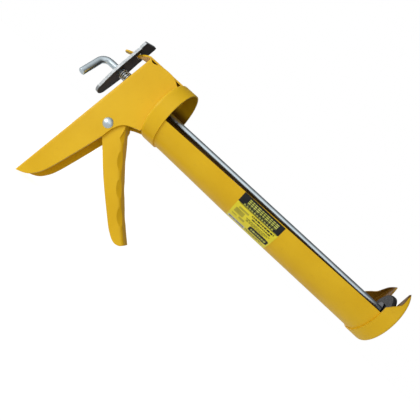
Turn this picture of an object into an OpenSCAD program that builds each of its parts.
// Half-barrel caulking gun with a smooth push rod.
// Frame: X runs along the rod to the nozzle, Z is up and Y is across.
// The origin is on the rod's axis, on the face that the cartridge's base seats against.

/* [Rear cup] */
// Outer diameter of the cup that holds the cartridge's base
cup_d = 56; // [55:0.5:57]
// Depth of the cup in front of the cartridge seat
cup_depth = 13; // [11:0.5:15]
// Sheet thickness of the cup
cup_t = 1.2; // [1.1:0.1:1.3]

/* [Cradle] */
// Distance from the cartridge seat to the inside of the front plate
cradle_l = 245; // [235:0.2:255]
// Outer diameter of the cradle over most of its length
cradle_d = 56; // [55.6:0.1:56.4]
// Sheet thickness of the cradle
cradle_t = 1.1; // [0.9:0.1:1.3]
// Height of the cradle's near long edge at the rear, below the rod's axis
edge_drop_rear = 7; // [5:0.5:9]
// Height of the cradle's near long edge at the front, below the rod's axis
edge_drop_front = 3.6; // [2:0.2:5]
// Height of the cradle's far long edge, below the rod's axis
edge_drop_far = 0.5; // [0.2:0.1:7]

/* [Front cap] */
// Sheet thickness of the front cap
cap_t = 1.3; // [1.1:0.1:1.5]
// Depth of the front cap's skirt
cap_depth = 13.5; // [12:0.5:15]
// Half width of the nozzle slot
slot_r = 11.5; // [10:0.5:13]
// Turn of the front cap about the rod, towards the near side, in degrees
cap_turn = 4; // [0:0.5:6]

/* [Handle frame] */
// Outer width of the folded handle frame
frame_w = 20; // [19:0.5:21]
// Sheet thickness of the handle frame
frame_t = 1.5; // [1.4:0.1:1.6]
// Lean of the frame's back away from vertical, in degrees
spine_lean = 8; // [7:0.5:9]

/* [Top strap] */
// Thickness of the strap that closes the frame's top
strap_t = 1.5; // [1.2:0.1:1.6]
// Droop of the strap's rear tongue, in degrees
tongue_droop = 20.5; // [19:0.5:22]
// Length of the tongue
tongue_l = 25.1; // [23:0.1:27]

/* [Trigger] */
// Outer width of the trigger channel
trigger_w = 16; // [15:0.5:16]
// Sheet thickness of the trigger
trigger_t = 1.3; // [1.2:0.1:1.4]
// Radius that the trigger's front face follows
trigger_r = 400; // [380:5:420]
// Diameter of the pivot rivet
rivet_d = 6; // [5:0.5:7]

/* [Drive] */
// Distance from the pivot to the trigger's push tips
lever = 24; // [23:0.5:25]
// Rotation of the trigger from rest to fully squeezed, in degrees
trigger_swing = 34; // [30:1:36]
// Thickness of each drive plate
drive_t = 2.2; // [2:0.1:2.4]

/* [Push rod] */
// Diameter of the push rod
rod_d = 6.2; // [6:0.1:6.4]
// Length of the hooked leg, from the rod's axis
hook_l = 26.4; // [24:0.2:30]
// Turn of the hook away from straight down, in degrees
hook_turn = 27; // [0:1:60]
// Diameter of the plunger disc
plunger_d = 32; // [30:1:40]

/* [Release plate] */
// Thickness of the release plate
plate_t = 2.4; // [2:0.1:2.6]
// Tilt of the release plate while it locks the rod, in degrees
plate_tilt = 6.5; // [6:0.1:7]

/* [Springs] */
// Wire diameter of the drive spring
drive_wire = 1.2; // [1:0.1:1.2]
// Wire diameter of the release spring
release_wire = 1; // [0.9:0.1:1.2]

/* [Label] */
// Length of the label along the cradle
label_l = 41.5; // [35:0.5:50]
// Thickness of the label
label_t = 0.15; // [0.1:0.05:0.2]

/* [Hidden] */
$fn = 72;

// Colours of the finishes
paint = [0.90, 0.72, 0.16];
zinc = [0.72, 0.77, 0.80];
blackened = [0.16, 0.14, 0.14];
grey = [0.27, 0.28, 0.30];

rod_r = rod_d / 2;
cup_r = cup_d / 2;
cradle_r = cradle_d / 2;
cap_front = cradle_l + cap_t;
cap_r = cradle_r + cap_t;
plate_y = frame_w / 2;

// Rear top corner of the frame, the strap's top, and the frame's side profile
frame_corner = [-37, 24.2];
strap_top = frame_corner[1] + strap_t;
strap_rear = -38;
tab_z = 12;
tab_h = 7;

// Pivot, and the push tips at rest: half the swing behind the pivot, so that they end as far ahead
pivot = [-25.7, -39.4];
tip_r = 2.8;
tip = pivot + lever * [-sin(trigger_swing / 2), cos(trigger_swing / 2)];
drive_gap = 0.3;
drive_clear = 0.4;
spring_washer_t = 1;
drive_x = tip[0] + tip_r + drive_gap;

// Start, heading and span of the trigger's arched front face
web_top = [-15.1, -29.9];
web_heading = 54.8;
web_span = 15.2;
web_centre = web_top + trigger_r * [sin(web_heading), cos(web_heading)];
groove_r = 24;
groove_bite = 1.4;
groove_pitch = 3.33;
trigger_bend = 3;

bend_r = 7;
hook_x = -71;
washer_x = 240.1;
washer_t = 1.2;
neck_r = 2.4;
dish_x = washer_x + washer_t + 0.2;
dish_t = 1.2;
dish_depth = 3;
nut_x = dish_x + dish_t + 0.2;
nut_t = 2.3;

guide_r = rod_r + 0.08;
guide_seat = cup_t + 1.5;
plate_x = -52.4;

// Smooth curve through a list of points (Catmull-Rom), n steps between neighbours
function blend(a, b, c, d, t) =
    0.5 * (2 * b + (c - a) * t + (2 * a - 5 * b + 4 * c - d) * t * t + (3 * b - a - 3 * c + d) * t * t * t);
function curve(p, n = 5) = [
    for (i = [0 : len(p) - 2], k = [0 : n - 1])
        blend(p[max(i - 1, 0)], p[i], p[i + 1], p[min(i + 2, len(p) - 1)], k / n),
    p[len(p) - 1]
];
function mirrored(p) = concat(p, [for (i = [len(p) - 1 : -1 : 0]) [p[i][0], -p[i][1]]]);

// Outline given as height and half width, drawn with its height up
module upright(p) {
    polygon([for (q = p) [q[1], q[0]]]);
}

// Turns a profile of radius and X position about the rod's axis
module turned(from = 0, sweep = 360) {
    rotate([0, 90, 0]) rotate([0, 0, from]) rotate_extrude(angle = sweep, $fn = 96) children();
}

// Extrudes a side view, X and Z, across Y
module across(w) {
    rotate([90, 0, 0]) linear_extrude(w, center = true) children();
}

// Extrudes a front view, Y and Z, along X from x0
module along(x0, l) {
    translate([x0, 0, 0]) rotate([90, 0, 90]) linear_extrude(l) children();
}

module rod_hole(r, x0, l) {
    translate([x0, 0, 0]) rotate([0, 90, 0]) cylinder(r = r, h = l);
}

// Half section of a drawn cup: a floor at y 0 and a wall at radius r
module drawn_block(r, h, bend) {
    translate([0, bend]) square([r, h - bend]);
    square([r - bend, h]);
    translate([r - bend, bend]) circle(bend);
}

module drawn_cup(r, h, t, bend) {
    difference() {
        drawn_block(r, h, bend);
        translate([0, t]) drawn_block(r - t, h, bend - t);
    }
}

// Section of a folded channel: floor at x 0, walls at +-half, open towards +x
module channel_block(depth, half, bend) {
    translate([bend, -half]) square([depth - bend, 2 * half]);
    translate([0, bend - half]) square([depth, 2 * (half - bend)]);
    for (s = [-1, 1]) translate([bend, s * (half - bend)]) circle(bend);
}

// Round wire coil along +X from x0; its section is stretched so that the wire stays round
module coil(x0, l, coil_r, wire, turns) {
    pitch = (l - wire) / turns;
    half_turn = 180 * wire / pitch;
    section = [for (a = [0 : 36 : 359])
        let (r = coil_r + wire / 2 * cos(a), s = half_turn * sin(a)) [r * cos(s), r * sin(s)]];
    translate([x0 + wire / 2, 0, 0]) rotate([0, 90, 0])
        linear_extrude(l - wire, twist = 360 * turns, slices = 22 * turns, $fn = 10) polygon(section);
}

module rear_cup() {
    color(paint) difference() {
        turned() translate([0, -cup_t]) drawn_cup(cup_r, cup_depth + cup_t, cup_t, 2.5);
        rod_hole(5.5, -5, 10);
        for (s = [-1, 1], z = [-tab_z, tab_z])
            translate([-5, s * (plate_y - frame_t / 2) - frame_t / 2, z - tab_h / 2]) cube([10, frame_t, tab_h]);
    }
}

// Flanged guide bush of the rod, peened over in front of the cup's floor
module rod_guide() {
    color(zinc) turned() difference() {
        union() {
            translate([0, -guide_seat]) square([8, guide_seat - cup_t]);
            translate([0, -guide_seat]) square([5.5, guide_seat + 1.2]);
            square([6.5, 1.2]);
        }
        translate([0, -10]) square([guide_r, 20]);
    }
}

module cradle() {
    rear = 1.6;
    front = cradle_l - 1.4;
    rear_r = cup_r - cup_t;
    outer = [[rear_r, rear], [rear_r, 25], [cradle_r, 97], [cradle_r, front]];
    inner = [for (i = [3 : -1 : 0]) outer[i] - [cradle_t, 0]];
    slope = atan((edge_drop_rear - edge_drop_front) / (cradle_l - cup_depth));
    color(paint) difference() {
        turned(-90, 180) polygon(concat(outer, inner));
        translate([cup_depth, -cup_d, -edge_drop_rear]) rotate([0, -slope, 0])
            translate([-50, 0, 0]) cube([cradle_l + 100, cup_d, cup_d]);
        translate([-50, -1, -edge_drop_far]) cube([cradle_l + 100, cup_d, cup_d]);
    }
}

// Drawn front cap with an open nozzle slot and two ears beside it
module front_cap() {
    skirt_top = 2.2;
    ear_top = 27.5;
    ear = curve([[-14.5, skirt_top], [-10, 7.4], [-5.6, 12], [-4, 17], [-2.6, 21.5], [1.5, ear_top]]);
    flare_z = 12;
    flare = 2.8;
    slot = [[0, slot_r], [flare_z, slot_r], [ear_top, slot_r + flare], [2 * ear_top, slot_r + flare]];
    color(paint) rotate([cap_turn, 0, 0]) difference() {
        translate([cap_front, 0, 0]) mirror([1, 0, 0]) turned() drawn_cup(cap_r, cap_depth, cap_t, 2.2);
        translate([cap_front, 0, 0]) across(3 * cap_r)
            polygon(concat(ear, [[1.5, 2 * ear_top], [-20, 2 * ear_top], [-20, skirt_top]]));
        rod_hole(slot_r, cap_front - 10, 20);
        along(cap_front - 10, 20) upright(mirrored(slot));
    }
}

// Side view of the frame: the swept top edge, the throat under the cup and the front of the grip
module frame_side() {
    grip_top = [-21.5, -49.5];
    top = curve([frame_corner + [1, 0], [-32, 22.4], [-26, 24.6], [-20, 25.6], [-12, 25.4], [-6, 22.8],
        [-cup_t, 20]]);
    throat = curve([[-cup_t, -26], [-14, -31.5], [-19.5, -40], grip_top]);
    grip = curve([grip_top, [-26, -66], [-36, -99], [-42, -111], [-49, -117.5], [-62, -122]]);
    polygon(concat([[-62, frame_corner[1]]], top, throat, grip));
}

// Folded channel: two side plates and a back, with tabs that pass through the cup's floor
module handle_frame() {
    color(paint) difference() {
        union() {
            intersection() {
                across(40) frame_side();
                translate([frame_corner[0], 0, frame_corner[1]]) rotate([0, spine_lean, 0])
                    translate([0, 0, -170]) linear_extrude(200) difference() {
                        channel_block(70, plate_y, 2.5);
                        translate([frame_t, 0]) channel_block(80, plate_y - frame_t, 1);
                    }
            }
            for (s = [-1, 1], z = [-tab_z, tab_z])
                translate([-cup_t - 1, s * (plate_y - frame_t / 2) - frame_t / 2, z - tab_h / 2])
                    cube([cup_t + 1.6, frame_t, tab_h]);
        }
        rod_hole(3.8, -60, 40);
        translate([pivot[0], 0, pivot[1]]) rotate([90, 0, 0]) cylinder(d = rivet_d, h = 60, center = true);
    }
}

// Strap between the side plates; its rear end is the tongue that carries the release plate
module top_strap() {
    half = plate_y - frame_t;
    nose = 2.7;
    front = -cup_t - strap_rear;
    tip_x = nose - tongue_l * cos(tongue_droop);
    rear = -tongue_l * [cos(tongue_droop), sin(tongue_droop)];
    side_view = [[front, 0], [0, 0], rear, rear + strap_t * [sin(tongue_droop), -cos(tongue_droop)],
        [strap_t * tan(tongue_droop / 2), -strap_t], [front, -strap_t]];
    shoulder = curve([[0, half], [-2.5, half - 0.3], [-6, 6.2], [-9, 3.6], [-11.5, nose + 0.2]]);
    color(paint) translate([strap_rear, 0, strap_top]) intersection() {
        across(frame_w) polygon(side_view);
        translate([0, 0, -frame_w]) linear_extrude(2 * frame_w) {
            polygon(mirrored(concat([[front, half]], shoulder, [[tip_x, nose]])));
            translate([tip_x, 0]) circle(nose);
        }
    }
}

// Places children on the trigger's front face at an angle along its arc: x rearward, z across
module on_web(angle) {
    translate([web_centre[0], 0, web_centre[1]]) rotate([90, 0, 0])
        rotate([0, 0, 270 - web_heading + angle]) translate([trigger_r, 0, 0]) children();
}

// Cylinders that press four finger grooves into the front corners
module grooves(r) {
    reach = (groove_r - groove_bite - trigger_bend * (sqrt(2) - 1)) / sqrt(2);
    for (i = [0 : 3], s = [-1, 1])
        on_web(1.2 + i * groove_pitch) translate([-reach, 0, s * (trigger_w / 2 + reach)])
            rotate([0, 45 * s, 0]) cylinder(r = r, h = 3 * groove_r, center = true);
}

module trigger_block(inset, groove) {
    difference() {
        translate([web_centre[0], 0, web_centre[1]]) rotate([90, 0, 0])
            rotate([0, 0, 270 - web_heading]) rotate_extrude(angle = web_span, $fn = 360)
                translate([trigger_r + inset, 0])
                    channel_block(40, trigger_w / 2 - inset, trigger_bend - inset);
        grooves(groove);
    }
}

// Side view of the grip: its back edge, from above the pivot to the rounded toe
module trigger_side() {
    back = curve([[-28, -36], [-29.5, -46], [-22, -51.5], [2, -75], [28, -97.5], [37, -104.5],
        [45, -108.5], [51, -107.5], [55, -103]]);
    polygon(concat(back, [[60, -90], [0, -20], [-20, -30]]));
}

module trigger_hub() {
    translate(pivot) circle(9);
    waist = tip + [0.1, -4];
    hull() {
        translate(tip) circle(tip_r);
        translate(waist) circle(tip_r - 0.4);
    }
    hull() {
        translate(waist) circle(tip_r - 0.4);
        translate(pivot) circle(5.5);
    }
    polygon([pivot + [-5, -8], pivot + [3.5, -11.8], [-8, -52], web_top + [3, -3.6], web_top + [0, 0.6],
        pivot + [2, 8.6]]);
}

// Folded channel with four finger grooves; two arms straddle the rod and push the drive plates
module trigger() {
    wall_y = trigger_w / 2 - trigger_t / 2;
    color(paint) difference() {
        union() {
            intersection() {
                across(40) trigger_side();
                difference() {
                    trigger_block(0, groove_r);
                    trigger_block(trigger_t, groove_r + trigger_t);
                }
            }
            for (s = [-1, 1]) translate([0, s * wall_y, 0]) across(trigger_t) trigger_hub();
        }
        translate([pivot[0], 0, pivot[1]]) rotate([90, 0, 0]) cylinder(d = rivet_d + 0.16, h = 60, center = true);
    }
}

module trigger_rivet() {
    head_r = 4.8;
    head_h = 2.2;
    dome_r = (head_r * head_r + head_h * head_h) / (2 * head_h);
    color(zinc) translate([pivot[0], 0, pivot[1]]) {
        rotate([90, 0, 0]) cylinder(d = rivet_d, h = frame_w, center = true);
        for (s = [-1, 1]) intersection() {
            translate([0, s * (plate_y + head_h - dome_r), 0]) sphere(dome_r);
            translate([0, s * (plate_y + head_h / 2), 0]) cube([12, head_h, 12], center = true);
        }
    }
}

// Spacer that keeps the side plates apart when the rivet is set
module pivot_sleeve() {
    sleeve_l = trigger_w - 2 * trigger_t - 0.6;
    color(zinc) translate([pivot[0], 0, pivot[1]]) rotate([90, 0, 0]) difference() {
        cylinder(r = rivet_d / 2 + 1.6, h = sleeve_l, center = true);
        cylinder(r = rivet_d / 2, h = frame_w, center = true);
    }
}

module drive_outline() {
    half = 7.7;
    bottom = -18.6;
    top = 11.4;
    corner = 3;
    translate([-half, bottom]) square([2 * half, top - corner - bottom]);
    translate([corner - half, 0]) square([2 * (half - corner), top]);
    for (s = [-1, 1]) translate([s * (half - corner), top - corner]) circle(corner);
}

module drive_plate(x0) {
    color(zinc) difference() {
        along(x0, drive_t) drive_outline();
        rod_hole(rod_r + drive_clear, x0 - 1, drive_t + 2);
    }
}

module drive_plate_rear() {
    drive_plate(drive_x);
}

module drive_plate_front() {
    drive_plate(drive_x + drive_t);
}

module spring_washer() {
    color(zinc) turned() translate([rod_r + drive_clear, drive_x + 2 * drive_t]) square([3.8, spring_washer_t]);
}

module drive_spring() {
    rear = drive_x + 2 * drive_t + spring_washer_t;
    color(grey) coil(rear, -guide_seat - rear, 5.5, drive_wire, 4);
}

module plate_outline() {
    foot = 6.2;
    foot_z = -20.5;
    neck = 8.4;
    side = curve([[foot_z, foot], [-8, 8.2], [4, 8.8], [16, neck]]);
    neck_top = 27;
    near_top = 32.4;
    far_top = 37.4;
    head = 9.3;
    corner = 1.6;
    upright(mirrored(concat(side, [[neck_top, neck]])));
    translate([0, foot_z]) circle(foot);
    hull() {
        translate([-head, neck_top - 1]) square([2 * head, 1]);
        translate([corner - head, near_top - corner]) circle(corner);
        translate([head - corner, far_top - corner]) circle(corner);
    }
}

// Locking plate: tilted on the tongue by its spring, it bites the rod; upright, it lets the rod slide
module release_plate() {
    window_w = 6.8;
    window_h = 4.4;
    window_z = 18.4;
    color(blackened) translate([plate_x, 0, 0]) rotate([0, plate_tilt, 0]) difference() {
        along(-plate_t / 2, plate_t) difference() {
            plate_outline();
            translate([-window_w / 2, window_z]) square([window_w, window_h]);
        }
        rod_hole(rod_r + 0.5, -5, 10);
    }
}

module release_spring() {
    rear = plate_x + plate_t / 2 + 0.7;
    color(grey) coil(rear, 9.4, 4.2, release_wire, 3);
}

module push_rod() {
    color(zinc) rotate([-hook_turn, 0, 0]) {
        rod_hole(rod_r, hook_x + bend_r, washer_x - hook_x - bend_r);
        rod_hole(neck_r, washer_x - 1, nut_x + nut_t + 1.2 - washer_x);
        translate([hook_x + bend_r, 0, -bend_r]) rotate([90, 0, 0]) rotate([0, 0, 90])
            rotate_extrude(angle = 90) translate([bend_r, 0]) circle(rod_r);
        translate([hook_x, 0, 0.6 - hook_l]) cylinder(r = rod_r, h = hook_l - bend_r - 0.6);
        translate([hook_x, 0, -hook_l]) cylinder(r1 = rod_r - 0.6, r2 = rod_r, h = 0.6);
    }
}

module plunger_washer() {
    color(zinc) turned() translate([neck_r, washer_x]) square([6.5 - neck_r, washer_t]);
}

module plunger_disc() {
    color(grey) difference() {
        turned() translate([0, dish_x]) drawn_cup(plunger_d / 2, dish_depth, dish_t, dish_depth / 2);
        rod_hole(neck_r + 0.06, dish_x - 1, 6);
    }
}

module plunger_nut() {
    color(zinc) difference() {
        translate([nut_x, 0, 0]) rotate([0, 90, 0]) cylinder(d = 9.2, h = nut_t, $fn = 6);
        rod_hole(neck_r, nut_x - 1, nut_t + 2);
    }
}

module label() {
    color([0.93, 0.85, 0.30]) turned(-78, 72) translate([cradle_r, 97.4]) square([label_t, label_l]);
}

rear_cup();
rod_guide();
cradle();
front_cap();
handle_frame();
top_strap();
trigger();
trigger_rivet();
pivot_sleeve();
drive_plate_rear();
drive_plate_front();
spring_washer();
drive_spring();
release_plate();
release_spring();
push_rod();
plunger_washer();
plunger_disc();
plunger_nut();
label();
